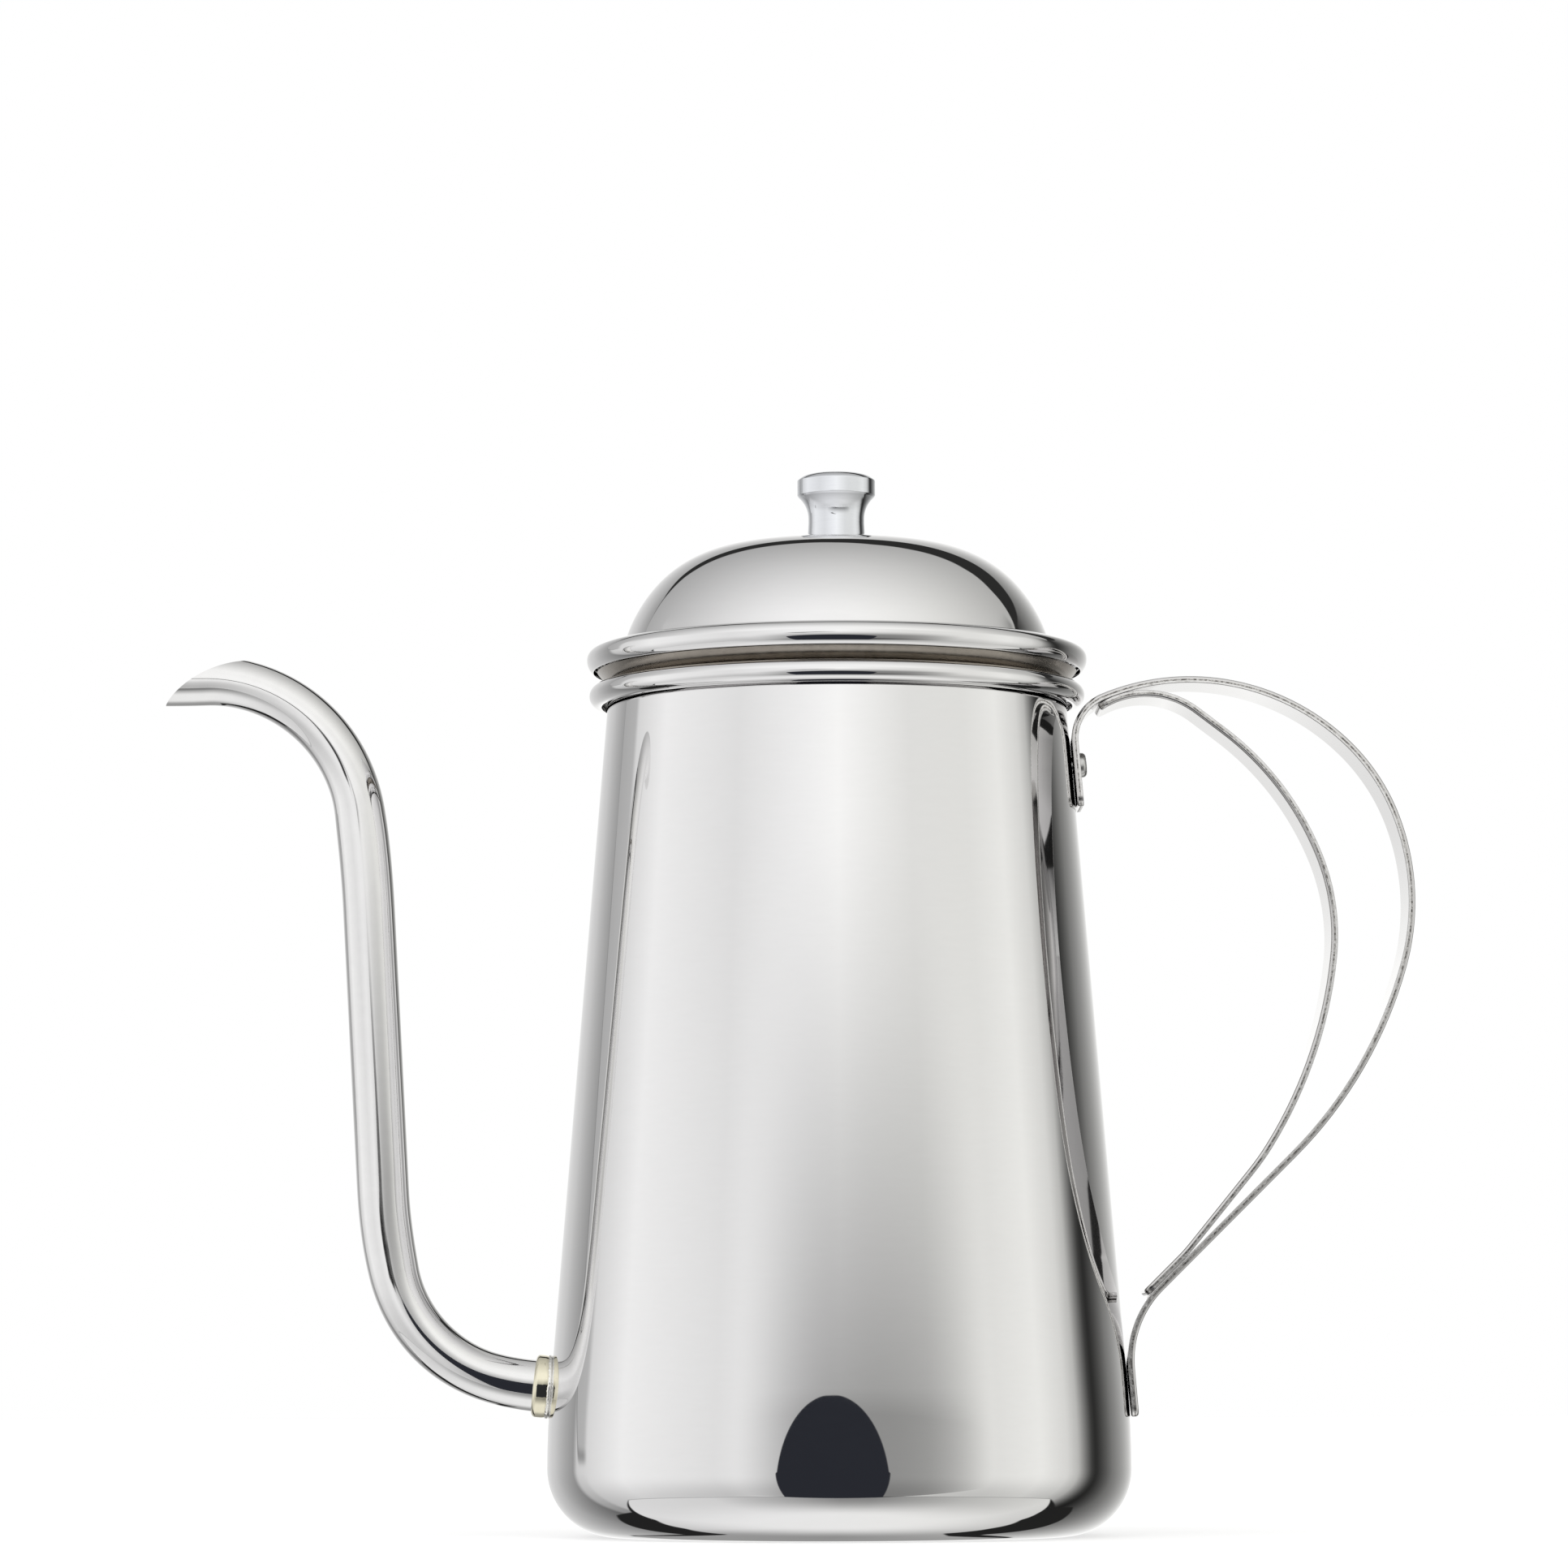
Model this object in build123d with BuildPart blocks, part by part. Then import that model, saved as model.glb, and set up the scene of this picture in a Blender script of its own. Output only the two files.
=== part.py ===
"""Gooseneck pour-over kettle in polished stainless steel, millimetres, +Z up.

The kettle stands on z = 0 with its axis on Z. The spout points to -X, the strap handle to +X,
and everything is symmetric about the XZ plane. The body is a spun cone with a curled rim and a
pressed base pan; a thin tube is silver-soldered into it through a brass collar; two flat straps
make the handle; the domed lid lifts off on its turned knob.
"""

import math
import os

from build123d import *

# ---- driving dimensions -------------------------------------------------------------------
sheet = 0.5  # stainless sheet of the body, the base and the lid

body_radius = 51.6  # widest point, at the top of the rounded base corner
corner_radius = 12.0  # rounding from the wall into the flat base
cone_angle = 4.73  # degrees that the wall leans inwards
cone_start = 26.0  # height at which the straight cone begins
curl_start = 148.87  # height at which the wall turns out into its rim
rim_radius = 1.95  # outside radius of the curled rim
rim_turn = 282.0  # degrees of the curl

groove_inner = 22.0  # stiffening groove pressed up into the base
groove_outer = 30.0
groove_depth = 0.8
groove_ramp = 1.6

tube_radius = 4.62  # spout tube
tube_wall = 0.5
root_height = 26.32  # where the spout axis leaves the wall
root_rise = 6.0  # degrees that the spout climbs at its root
root_inside = 2.0  # length of tube behind the outer face of the wall
solder_gap = 0.55  # silver solder between the collar and the wall
collar_radius = 5.55
collar_reach = 2.95  # from the wall to the outer face of the collar
collar_round = 0.8
slip = 0.03  # gap between parts that are soldered, riveted or welded together

strap_width = 14.8
strap_thickness = 1.2
strap_round = 1.8  # rounded corners at the strap ends
tab_top_end = 128.7  # lower end of the upper strap tab
tab_top_length = 11.3
tab_low_end = 21.0  # lower end of the lower strap tab
tab_low_bend = 17.3
overlap_turn = 10.8  # degrees before the end of the tight bend at which the inner strap starts
weld_gap = 0.22  # between the straps where the inner one starts
overlap_low = 10.2  # length over which the inner strap lies on the outer one

rivet_height = 136.5
rivet_shank = 1.5  # radii
rivet_head = 2.2
rivet_head_height = 1.45
rivet_tail = 2.1
rivet_tail_height = 0.9
washer_radius = 3.2
washer_thickness = 0.6

dome_height = 177.4  # crown of the lid
valley_radius = 38.2  # where the dome meets the rolled edge
valley_height = 157.1
lid_edge_height = 157.4  # top of the rolled edge
collar_ring_radius = 39.95  # locating ring that drops into the mouth
collar_ring_bottom = 141.5

knob_height = 189.35
knob_head_radius = 6.98
knob_neck_radius = 5.0
knob_foot_radius = 5.15
screw_radius = 2.0
screw_reach = 8.0  # thread inside the knob
screw_head_radius = 3.9
screw_head_height = 2.3
knob_washer_radius = 5.2
knob_washer_thickness = 0.8

blend_radius = (cone_start - corner_radius) / math.sin(math.radians(cone_angle))
cone_slope = math.tan(math.radians(cone_angle))
cone_radius = body_radius - blend_radius * (1 - math.cos(math.radians(cone_angle)))


def wall_radius(height):
    """Outside radius of the straight cone at a height."""
    return cone_radius - (height - cone_start) * cone_slope


def course(start, heading, *steps):
    """Tangent course in the current plane: a number runs straight, a pair is (radius, left turn)."""
    point, direction = start, heading
    drawn = []
    for step in steps:
        if isinstance(step, tuple):
            piece = JernArc(start=point, tangent=direction, radius=step[0], arc_size=step[1])
        else:
            piece = PolarLine(start=point, length=step, direction=direction)
        point, direction = piece @ 1, piece % 1
        drawn.append(piece)
    return drawn


def aim(degrees):
    """Unit heading in the sketch plane."""
    return (math.cos(math.radians(degrees)), math.sin(math.radians(degrees)))


def spun_wall(growth):
    """Solid bounded by the outside of the wall, grown outwards by an amount."""
    with BuildPart() as blank:
        with BuildSketch(Plane.XZ):
            with BuildLine():
                start = (body_radius + growth, corner_radius)
                side = course(start, (0, 1), (blend_radius + growth, cone_angle), 60.0)
                top = side[-1] @ 1
                Polyline(top, (0, top.Y), (0, corner_radius), start)
            make_face()
        revolve(axis=Axis.Z)
    return blank.part


# ---- spout root and rivet planes --------------------------------------------------------------
root_out = Vector(-math.cos(math.radians(root_rise)), 0, math.sin(math.radians(root_rise)))
root_point = Vector(-wall_radius(root_height), 0, root_height)
root_plane = Plane(origin=root_point, x_dir=(0, 1, 0), z_dir=root_out)

rivet_out = Vector(math.cos(math.radians(cone_angle)), 0, math.sin(math.radians(cone_angle)))
rivet_point = Vector(wall_radius(rivet_height), 0, rivet_height)
rivet_plane = Plane(origin=rivet_point, x_dir=(0, 1, 0), z_dir=rivet_out)


# ---- body wall: cone, curled rim, spout hole and rivet hole ------------------------------------
with BuildPart() as body_wall:
    with BuildSketch(Plane.XZ):
        with BuildLine():
            rise = (curl_start - cone_start) / math.cos(math.radians(cone_angle))
            curl = (rim_radius - sheet, -rim_turn)
            course((body_radius, corner_radius), (0, 1), (blend_radius, cone_angle), rise, curl)
            offset(amount=sheet, side=Side.LEFT, closed=True)
        make_face()
    revolve(axis=Axis.Z)
    with BuildSketch(root_plane):
        Circle(tube_radius + slip)
    extrude(amount=4, both=True, mode=Mode.SUBTRACT)
    with BuildSketch(rivet_plane):
        Circle(rivet_shank + slip)
    extrude(amount=4, both=True, mode=Mode.SUBTRACT)

# ---- base pan: flat bottom with a stiffening groove, corner up to the wall ---------------------
with BuildPart() as base_pan:
    flat_radius = body_radius - corner_radius
    with BuildSketch(Plane.XZ):
        with BuildLine():
            FilletPolyline(
                (0, 0),
                (groove_inner, 0),
                (groove_inner + groove_ramp, groove_depth),
                (groove_outer - groove_ramp, groove_depth),
                (groove_outer, 0),
                (flat_radius, 0),
                radius=1.2,
            )
            course((flat_radius, 0), (1, 0), (corner_radius, 90))
            offset(amount=sheet, side=Side.LEFT, closed=True)
        make_face()
    revolve(axis=Axis.Z)

# ---- spout collar: turned brass ring, saddled to the cone ---------------------------------------
with BuildPart() as spout_collar:
    with BuildSketch(root_plane):
        Circle(collar_radius)
    extrude(amount=collar_reach)
    fillet(spout_collar.faces().sort_by(Axis(root_point, root_out))[-1].edges(), collar_round)
    with BuildSketch(root_plane):
        Circle(collar_radius)
    extrude(amount=-3)
    with BuildSketch(root_plane):
        Circle(tube_radius + slip)
    extrude(amount=8, both=True, mode=Mode.SUBTRACT)
    add(spun_wall(solder_gap), mode=Mode.SUBTRACT)

# ---- spout solder: silver seam between the collar and the wall ----------------------------------
with BuildPart() as spout_solder:
    with BuildSketch(root_plane):
        Circle(collar_radius - 0.1)
        Circle(tube_radius + slip, mode=Mode.SUBTRACT)
    extrude(amount=3, both=True)
    add(spun_wall(solder_gap), mode=Mode.INTERSECT)
    add(spun_wall(0), mode=Mode.SUBTRACT)

# ---- spout tube: swan neck with an oblique, convex cut at the outlet ----------------------------
lip = (-120.0, 147.45)  # lowest point of the outlet
nape = (-104.0, 155.74)  # highest point of the outlet
outlet_bulge = 1.9
with BuildPart() as spout_tube:
    inner_end = root_point - root_out * root_inside
    with BuildLine(Plane.XZ) as spout_route:
        course(
            (inner_end.X, inner_end.Z),
            aim(180 - root_rise),
            root_inside + 3.2,
            (42.5, -9.5),
            (24.9, -62.1),
            (92.0, -9.3),
            49.5,
            (209.0, 4.85),
            (27.6, 82.05),
            8.5,
        )
    with BuildSketch(Plane(origin=inner_end, x_dir=(0, 1, 0), z_dir=root_out)):
        Circle(tube_radius)
        Circle(tube_radius - tube_wall, mode=Mode.SUBTRACT)
    sweep(path=spout_route.wires()[0])
    with BuildSketch(Plane.XZ):
        with BuildLine():
            SagittaArc(lip, nape, outlet_bulge)
            Polyline(nape, (nape[0], 165), (-130, 165), (-130, lip[1]), lip)
        make_face()
    extrude(amount=10, both=True, mode=Mode.SUBTRACT)


# ---- handle straps ------------------------------------------------------------------------------
def strap_ends(part):
    """Short edges at the two ends of a strap that run through its thickness."""
    width_faces = part.faces().filter_by(Axis.Y)
    edges = width_faces.edges().filter_by(GeomType.LINE)
    return edges.filter_by(lambda edge: abs(edge.length - strap_thickness) < 0.01)


with BuildPart() as handle_outer_strap:
    with BuildSketch(Plane.XZ):
        with BuildLine():
            tab_foot = (wall_radius(tab_top_end) + slip, tab_top_end)
            grip = course(
                tab_foot,
                aim(90 + cone_angle),
                tab_top_length,
                (8.7, -72.2),
                (40.65, -67.7),
                (36.0, -24.8),
                (43.2, -35.9),
                (77.0, -29.4),
            )
            slant = grip[-1] % 1
            shoulder = grip[-1] @ 1
            tab_line = wall_radius(0) + slip + strap_thickness
            to_corner = (tab_line - cone_slope * shoulder.Y - shoulder.X) / (slant.X + cone_slope * slant.Y)
            corner = shoulder + slant * to_corner
            tab_end = (tab_line - cone_slope * tab_low_end, tab_low_end)
            FilletPolyline(shoulder, corner, tab_end, radius=tab_low_bend)
            offset(amount=strap_thickness, side=Side.RIGHT, closed=True)
        make_face()
    extrude(amount=strap_width / 2, both=True)
    fillet(strap_ends(handle_outer_strap.part), strap_round)
    with BuildSketch(rivet_plane):
        Circle(rivet_shank + slip)
    extrude(amount=4, both=True, mode=Mode.SUBTRACT)

with BuildPart() as handle_inner_strap:
    tight_bend = grip[1]
    share = 1 - overlap_turn / 72.2
    start = tight_bend @ share
    heading = tight_bend % share
    inward = Vector(heading.Y, -heading.X)
    with BuildSketch(Plane.XZ):
        with BuildLine():
            loop = course(
                start + inward * (strap_thickness + weld_gap),
                heading,
                (15.5, -70.65),
                5.8,
                (52.4, -31.05),
                (38.8, -28.15),
                (79.7, -25.7),
                (47.25, -6.9),
            )
            fall = loop[-1] % 1
            leave = loop[-1] @ 1
            seat = corner + Vector(slant.Y, -slant.X) * (strap_thickness + slip)
            gap = seat - leave
            reach = (gap.X * slant.Y - gap.Y * slant.X) / (fall.X * slant.Y - fall.Y * slant.X)
            touch = leave + fall * reach
            FilletPolyline(leave, touch, touch + slant * overlap_low, radius=30)
            offset(amount=strap_thickness, side=Side.RIGHT, closed=True)
        make_face()
    extrude(amount=strap_width / 2, both=True)
    fillet(strap_ends(handle_inner_strap.part), strap_round)

# ---- handle rivet and its backing washer --------------------------------------------------------
washer_seat = -(sheet + 0.15)  # the flat washer touches the curved wall at its sides
with BuildPart() as handle_rivet:
    head_seat = strap_thickness + slip
    with BuildSketch(rivet_plane.offset(head_seat)):
        Circle(rivet_head)
    extrude(amount=rivet_head_height)
    fillet(handle_rivet.faces().sort_by(Axis(rivet_point, rivet_out))[-1].edges(), 0.6)
    with BuildSketch(rivet_plane.offset(washer_seat - washer_thickness)):
        Circle(rivet_shank)
    extrude(amount=head_seat - washer_seat + washer_thickness)
    with BuildSketch(rivet_plane.offset(washer_seat - washer_thickness)):
        Circle(rivet_tail)
    extrude(amount=-rivet_tail_height)
    fillet(handle_rivet.faces().sort_by(Axis(rivet_point, rivet_out))[0].edges(), 0.4)

with BuildPart() as rivet_washer:
    with BuildSketch(rivet_plane.offset(washer_seat)):
        Circle(washer_radius)
        Circle(rivet_shank + slip, mode=Mode.SUBTRACT)
    extrude(amount=-washer_thickness)


# ---- lid: dome with a rolled edge ---------------------------------------------------------------
def dome_profile():
    """Outside of the dome, from the crown out to the foot of its steep side."""
    return course((0, dome_height), (1, 0), (117.0, -9.6), (22.2, -40.4), (26.7, -22.0))


with BuildPart() as lid_dome:
    with BuildSketch(Plane.XZ):
        with BuildLine():
            foot = dome_profile()[-1] @ 1
            FilletPolyline(foot, (valley_radius, valley_height), (40.5, lid_edge_height), radius=0.7)
            course(
                (40.5, lid_edge_height),
                (1, 0),
                (5.2, -35),
                (1.78, -55),
                (2.8, -50),
                (0.75, -35),
            )
            offset(amount=sheet, side=Side.RIGHT, closed=True)
        make_face()
    revolve(axis=Axis.Z)
    with BuildSketch():
        Circle(screw_radius + 0.15)
    extrude(amount=200, mode=Mode.SUBTRACT)

# ---- lid collar: locating ring that rests on the rim and drops into the mouth -------------------
with BuildPart() as lid_collar:
    with BuildSketch(Plane.XZ):
        with BuildLine():
            course(
                (collar_ring_radius - 1.2, collar_ring_bottom),
                (1, 0),
                0.2,
                (1.0, 90),
                6.58,
                (2.3, -40),
                3.6,
            )
            offset(amount=sheet, side=Side.LEFT, closed=True)
        make_face()
    revolve(axis=Axis.Z)

# ---- lid knob: turned aluminium, tapped from below ----------------------------------------------
with BuildPart() as lid_knob:
    with BuildSketch(Plane.XZ):
        with BuildLine():
            crown = course((0, knob_height), (1, 0), (38.0, -7.3), (3.6, -38.0))
            head_top = crown[-1] @ 1
            Polyline(
                head_top,
                (knob_head_radius, 187.9),
                (knob_head_radius, 185.3),
                (knob_head_radius - 0.25, 184.95),
            )
            throat = TangentArc(
                (knob_neck_radius, 181.1),
                (knob_head_radius - 0.25, 184.95),
                tangent=(0, 1),
            )
            Polyline(
                throat @ 0,
                (knob_neck_radius, 180.3),
                (knob_foot_radius, dome_height - 1),
                (0, dome_height - 1),
                (0, knob_height),
            )
        make_face()
        with BuildLine():
            under = dome_profile()
            Polyline(under[-1] @ 1, (0, (under[-1] @ 1).Y), (0, dome_height))
        make_face(mode=Mode.SUBTRACT)
        with Locations((0, dome_height)):
            Rectangle(2 * (screw_radius + slip), 2 * (screw_reach + 0.5), mode=Mode.SUBTRACT)
    revolve(axis=Axis.Z)

# ---- knob screw and washer, inside the dome -----------------------------------------------------
washer_top = dome_height - sheet - 0.15
with BuildPart() as knob_washer:
    with BuildSketch(Plane.XY.offset(washer_top)):
        Circle(knob_washer_radius)
        Circle(screw_radius + 0.1, mode=Mode.SUBTRACT)
    extrude(amount=-knob_washer_thickness)

with BuildPart() as knob_screw:
    head_top_height = washer_top - knob_washer_thickness
    with BuildSketch(Plane.XY.offset(head_top_height)):
        Circle(screw_head_radius)
    extrude(amount=-screw_head_height)
    fillet(knob_screw.faces().sort_by(Axis.Z)[0].edges(), 0.9)
    with BuildSketch(Plane.XY.offset(head_top_height)):
        Circle(screw_radius)
    extrude(amount=dome_height + screw_reach - head_top_height)
    with BuildSketch(Plane.XY.offset(head_top_height - screw_head_height)):
        for angle in (0, 90):
            with Locations(Location((0, 0, 0), (0, 0, angle))):
                Rectangle(4.2, 0.9)
    extrude(amount=1.2, mode=Mode.SUBTRACT)

# ---- export: one file per piece -----------------------------------------------------------------
pieces = {
    "body_wall": body_wall,
    "base_pan": base_pan,
    "spout_collar": spout_collar,
    "spout_solder": spout_solder,
    "spout_tube": spout_tube,
    "handle_outer_strap": handle_outer_strap,
    "handle_inner_strap": handle_inner_strap,
    "handle_rivet": handle_rivet,
    "rivet_washer": rivet_washer,
    "lid_dome": lid_dome,
    "lid_collar": lid_collar,
    "lid_knob": lid_knob,
    "knob_washer": knob_washer,
    "knob_screw": knob_screw,
}
os.makedirs("parts", exist_ok=True)
for label, builder in pieces.items():
    builder.part.label = label
    export_step(builder.part, f"parts/{label}.step")
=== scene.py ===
import math

import bpy
import numpy as np
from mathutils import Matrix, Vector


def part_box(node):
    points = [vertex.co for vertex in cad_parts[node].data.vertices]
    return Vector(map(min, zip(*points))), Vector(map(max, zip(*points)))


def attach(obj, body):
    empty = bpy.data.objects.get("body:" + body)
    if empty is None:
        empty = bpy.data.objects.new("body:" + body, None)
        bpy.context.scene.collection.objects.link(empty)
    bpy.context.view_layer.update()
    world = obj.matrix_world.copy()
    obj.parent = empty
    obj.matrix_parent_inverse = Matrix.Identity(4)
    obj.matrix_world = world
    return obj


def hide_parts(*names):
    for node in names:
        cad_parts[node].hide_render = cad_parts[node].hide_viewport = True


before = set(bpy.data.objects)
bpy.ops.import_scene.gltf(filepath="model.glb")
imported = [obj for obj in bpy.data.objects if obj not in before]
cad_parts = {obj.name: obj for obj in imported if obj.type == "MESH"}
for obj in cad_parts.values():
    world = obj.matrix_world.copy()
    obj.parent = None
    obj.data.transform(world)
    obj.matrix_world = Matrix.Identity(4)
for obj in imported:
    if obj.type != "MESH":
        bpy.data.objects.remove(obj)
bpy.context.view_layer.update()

MM = 0.001

# ---- driving dimensions, in millimetres, as in the frame --------------------------------------
SHEET = 0.5
CORNER_RADIUS = 12.0
CONE_ANGLE = 4.73
CONE_START = 26.0
CURL_START = 148.87
RIM_RADIUS = 1.95
RIM_TURN = 282.0
TUBE_RADIUS = 4.62
TUBE_WALL = 0.5
ROOT_HEIGHT = 26.32
ROOT_RISE = 6.0
COLLAR_RADIUS = 5.55
COLLAR_REACH = 2.95
SOLDER_GAP = 0.55
SLIP = 0.03
STRAP_HALF = 7.4
STRAP_THICKNESS = 1.2
STRAP_ROUND = 1.8
RIVET_HEIGHT = 136.5
DOME_HEIGHT = 177.4
RINGS = 288  # divisions round the body and the lid
COLLAR_ROUND = 0.8
ROOT_INSIDE = 2.0
LIP = (-120.0, 147.45)
NAPE = (-104.0, 155.74)
OUTLET_BULGE = 1.9
FLATTENING = 0.05
GROOVE = (22.0, 30.0)
GROOVE_DEPTH = 0.8
DOME_STEPS = ((117.0, -9.6), (22.2, -40.4), (26.7, -22.0))
EDGE_LEAN = 9.02
SCREW_RADIUS = 2.0
KNOB_HEIGHT = 189.35
TAB_TOP_END = 128.7
TAB_LOW_END = 21.0
OVERLAP_TURN = 10.8
OVERLAP_LOW = 10.2
WELD_GAP = 0.22
RIVET_SHANK = 1.5
ROLLED = 0.5
BURR = 0.12
TORN = 0.5
VALLEY = (38.2, 157.1)  # where the dome meets its rolled edge
VALLEY_ROUND = 0.7
EDGE_TOP = (40.5, 157.4)
EDGE_RADIUS = 5.2
EDGE_CURL = ((1.78, -55), (2.8, -50), (0.75, -35))
LOCATING_START = (38.75, 141.5)
LOCATING_STEPS = (0.2, (1.0, 90), 6.58, (2.3, -40), 3.6)
KNOB_CROWN = ((38.0, -7.3), (3.6, -38.0))
KNOB_RADIUS = 6.98
KNOB_SIDE = (187.9, 185.3)  # top and foot of the knob's upright side
KNOB_UNDER = (6.73, 184.95)
NECK_TOP = (5.0, 181.1)
NECK_FOOT = 180.3
KNOB_SEAT_RADIUS = 5.15
KNOB_SEAT = 177.29
KNOB_BORE = 2.03
KNOB_BORE_END = 185.9
SPOUT_ROOT = 3.2
SPOUT_STEPS = ((42.5, -9.5), (24.9, -62.1), (92.0, -9.3), 49.5, (209.0, 4.85), (27.6, 82.05), 8.5)
BEND_SPREAD = 30  # how far a bend's flattening runs into the straights, in steps of 0.1
OUTER_TAB = 11.3
OUTER_BEND = (8.7, -72.2)
OUTER_LOOP = ((40.65, -67.7), (36.0, -24.8), (43.2, -35.9), (77.0, -29.4))
OUTER_HEEL = 17.3
INNER_LOOP = ((15.5, -70.65), 5.8, (52.4, -31.05), (38.8, -28.15), (79.7, -25.7), (47.25, -6.9))
INNER_HEEL = 30.0
RIVET_HEAD = 2.2
RIVET_TAIL = 2.1

BODY_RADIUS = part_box("body_wall")[1].x / MM
BLEND_RADIUS = (CONE_START - CORNER_RADIUS) / math.sin(math.radians(CONE_ANGLE))
CONE_SLOPE = math.tan(math.radians(CONE_ANGLE))
CONE_RADIUS = BODY_RADIUS - BLEND_RADIUS * (1 - math.cos(math.radians(CONE_ANGLE)))


def wall_radius(height):
    """Outside radius of the straight cone at a height."""
    return CONE_RADIUS - (height - CONE_START) * CONE_SLOPE


def axis_place(origin, along):
    """Rotation and offset that put the local Z axis at an origin along a direction in the XZ plane."""
    x = np.array([along[2], 0, -along[0]])
    y = np.array([0.0, 1.0, 0.0])
    return np.stack([x, y, np.array(along)], axis=1), np.array(origin)


ROOT_OUT = np.array([-math.cos(math.radians(ROOT_RISE)), 0, math.sin(math.radians(ROOT_RISE))])
ROOT_POINT = np.array([-wall_radius(ROOT_HEIGHT), 0, ROOT_HEIGHT])
ROOT_PLACE = axis_place(ROOT_POINT, ROOT_OUT)
RIVET_OUT = np.array([math.cos(math.radians(CONE_ANGLE)), 0, math.sin(math.radians(CONE_ANGLE))])
RIVET_PLACE = axis_place((wall_radius(RIVET_HEIGHT), 0, RIVET_HEIGHT), RIVET_OUT)


# ---- outlines: a run is an array of x, z and heading in radians --------------------------------
def route(start, heading, *steps):
    """Tangent route from a point: a number goes straight, a pair is (radius, left turn in degrees).
    Gives legs of start length, length, x, z, heading and curvature."""
    x, z = start
    h = math.radians(heading)
    legs, gone = [], 0.0
    for step in steps:
        if isinstance(step, tuple):
            curvature = math.copysign(1 / step[0], step[1])
            length = step[0] * abs(math.radians(step[1]))
        else:
            curvature, length = 0.0, step
        legs.append((gone, length, x, z, h, curvature))
        gone += length
        x, z, h = walk(legs, np.array([gone]))[0]
    return legs


def walk(legs, reach):
    """Run of the points at given lengths along a route."""
    reach = np.asarray(reach, dtype=float)
    run = np.zeros((len(reach), 3))
    for begin, length, x, z, h, curvature in legs:
        here = reach >= begin - 1e-9
        d = reach[here] - begin
        if curvature:
            turned = h + curvature * d
            run[here, 0] = x + (np.sin(turned) - math.sin(h)) / curvature
            run[here, 1] = z - (np.cos(turned) - math.cos(h)) / curvature
            run[here, 2] = turned
        else:
            run[here, 0] = x + math.cos(h) * d
            run[here, 1] = z + math.sin(h) * d
            run[here, 2] = h
    return run


def total(legs):
    """Whole length of a route."""
    return legs[-1][0] + legs[-1][1]


def stations(legs, turn_step=3.0, longest=4.0):
    """Lengths along a route, close enough together for its bends."""
    marks = [0.0]
    for begin, length, x, z, h, curvature in legs:
        turn = abs(math.degrees(curvature * length))
        count = max(1, math.ceil(turn / turn_step), math.ceil(length / longest))
        marks.extend(begin + length * (i + 1) / count for i in range(count))
    return np.array(marks)


def course(start, heading, *steps, turn_step=3.0, longest=4.0):
    """Run along a tangent route."""
    legs = route(start, heading, *steps)
    return walk(legs, stations(legs, turn_step, longest))


def corner_steps(points, radii):
    """Steps of a route through points whose inner corners are rounded, and its first heading."""
    points = [np.array(p, dtype=float) for p in points]
    sides = [b - a for a, b in zip(points, points[1:])]
    headings = [math.degrees(math.atan2(s[1], s[0])) for s in sides]
    lengths = [float(np.hypot(*s)) for s in sides]
    steps = []
    cut_before = 0.0
    for i, radius in enumerate(radii):
        turn = (headings[i + 1] - headings[i] + 180) % 360 - 180
        cut = radius * abs(math.tan(math.radians(turn / 2)))
        steps += [lengths[i] - cut_before - cut, (radius, turn)]
        cut_before = cut
    steps.append(lengths[-1] - cut_before)
    return headings[0], steps


def rounded(points, *radii, turn_step=10.0):
    """Run through points with rounded inner corners."""
    heading, steps = corner_steps(points, radii)
    return course(points[0], heading, *steps, turn_step=turn_step)


def shifted(run, amount):
    """Run moved sideways to its left by an amount."""
    moved = run.copy()
    moved[:, 0] -= np.sin(run[:, 2]) * amount
    moved[:, 1] += np.cos(run[:, 2]) * amount
    return moved


def turned_back(run):
    """The same run walked the other way."""
    back = run[::-1].copy()
    back[:, 2] += math.pi
    return back


def straight(a, b):
    """Run of two points."""
    heading = math.atan2(b[1] - a[1], b[0] - a[0])
    return np.array([(a[0], a[1], heading), (b[0], b[1], heading)])


def sheet_outline(run, thickness, side):
    """Closed outline of bent sheet: outward is always to the right of each run."""
    if side == "left":
        near, far = run, shifted(run, thickness)
    else:
        near, far = shifted(run, -thickness), run
    return [near, straight(near[-1], far[-1]), turned_back(far), straight(far[0], near[0])]


# ---- meshes: a patch is a grid of points with a normal at each -----------------------------------
def lathe_patch(run, segments=RINGS):
    """Patch made by turning a run about Z."""
    angle = np.linspace(0, 2 * math.pi, segments + 1)
    c, s = np.cos(angle), np.sin(angle)
    r, z, h = run[:, 0:1], run[:, 1:2], run[:, 2:3]
    points = np.stack([r * c, r * s, z + 0 * c], axis=2)
    normals = np.stack([np.sin(h) * c, np.sin(h) * s, -np.cos(h) + 0 * c], axis=2)
    return points, normals


def outward(points):
    """Normals of a grid that closes on itself along its rows, away from the middle of each row."""
    along = np.gradient(points, axis=0)
    ring = points[:, :-1]
    across = np.roll(ring, -1, axis=1) - np.roll(ring, 1, axis=1)
    across = np.concatenate([across, across[:, :1]], axis=1)
    normals = np.cross(across, along)
    normals /= np.maximum(np.linalg.norm(normals, axis=2, keepdims=True), 1e-12)
    middle = ring.mean(axis=1, keepdims=True)
    facing = np.sign((normals * (points - middle)).sum())
    return normals * facing


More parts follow.
